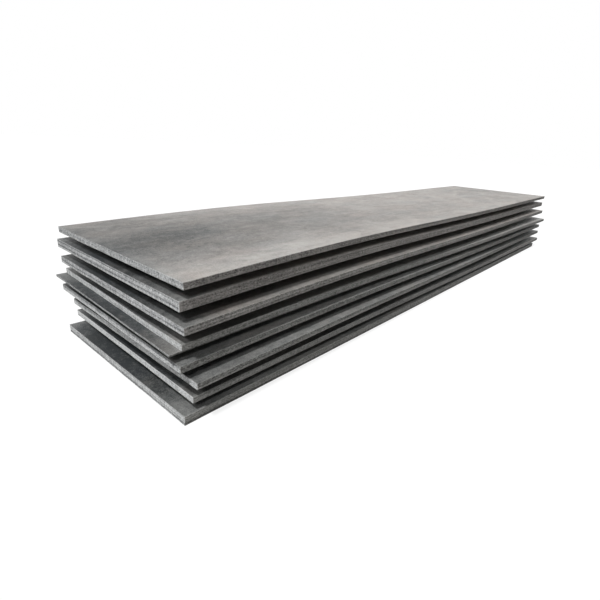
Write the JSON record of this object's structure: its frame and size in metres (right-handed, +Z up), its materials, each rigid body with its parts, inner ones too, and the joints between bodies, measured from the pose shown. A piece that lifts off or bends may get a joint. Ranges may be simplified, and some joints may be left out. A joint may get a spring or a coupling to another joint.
{
  "type": "steel plate stack",
  "caption": "Loose stack of long hot-rolled steel plates of mixed thickness, lying flat on hidden timber battens, with uneven edges and ends.",
  "frame": {"origin": "on the floor, under the middle of the stack's overall box", "axes": "+X along the plates, away from the end that shows best; +Y across them; +Z up"},
  "size_m": [8.1346, 1.9464, 0.973],
  "materials": {
    "plate_steel": "dull grey mill scale with lighter cut edges",
    "batten_timber": "rough sawn, weathered"
  },
  "bodies": {
    "root": {"plate_1": "plate_steel", "plate_2": "plate_steel", "plate_3": "plate_steel", "plate_4": "plate_steel", "plate_5": "plate_steel", "plate_6": "plate_steel", "plate_7": "plate_steel", "plate_8": "plate_steel", "plate_9": "plate_steel", "batten_1_a": "batten_timber", "batten_1_b": "batten_timber", "batten_1_c": "batten_timber", "batten_1_d": "batten_timber", "batten_2_a": "batten_timber", "batten_2_b": "batten_timber", "batten_2_c": "batten_timber", "batten_2_d": "batten_timber", "batten_3_a": "batten_timber", "batten_3_b": "batten_timber", "batten_3_c": "batten_timber", "batten_3_d": "batten_timber", "batten_5_a": "batten_timber", "batten_5_b": "batten_timber", "batten_5_c": "batten_timber", "batten_5_d": "batten_timber", "batten_6_a": "batten_timber", "batten_6_b": "batten_timber", "batten_6_c": "batten_timber", "batten_6_d": "batten_timber", "batten_7_a": "batten_timber", "batten_7_b": "batten_timber", "batten_7_c": "batten_timber", "batten_7_d": "batten_timber", "batten_8_a": "batten_timber", "batten_8_b": "batten_timber", "batten_8_c": "batten_timber", "batten_8_d": "batten_timber"}
  },
  "joints": []
}
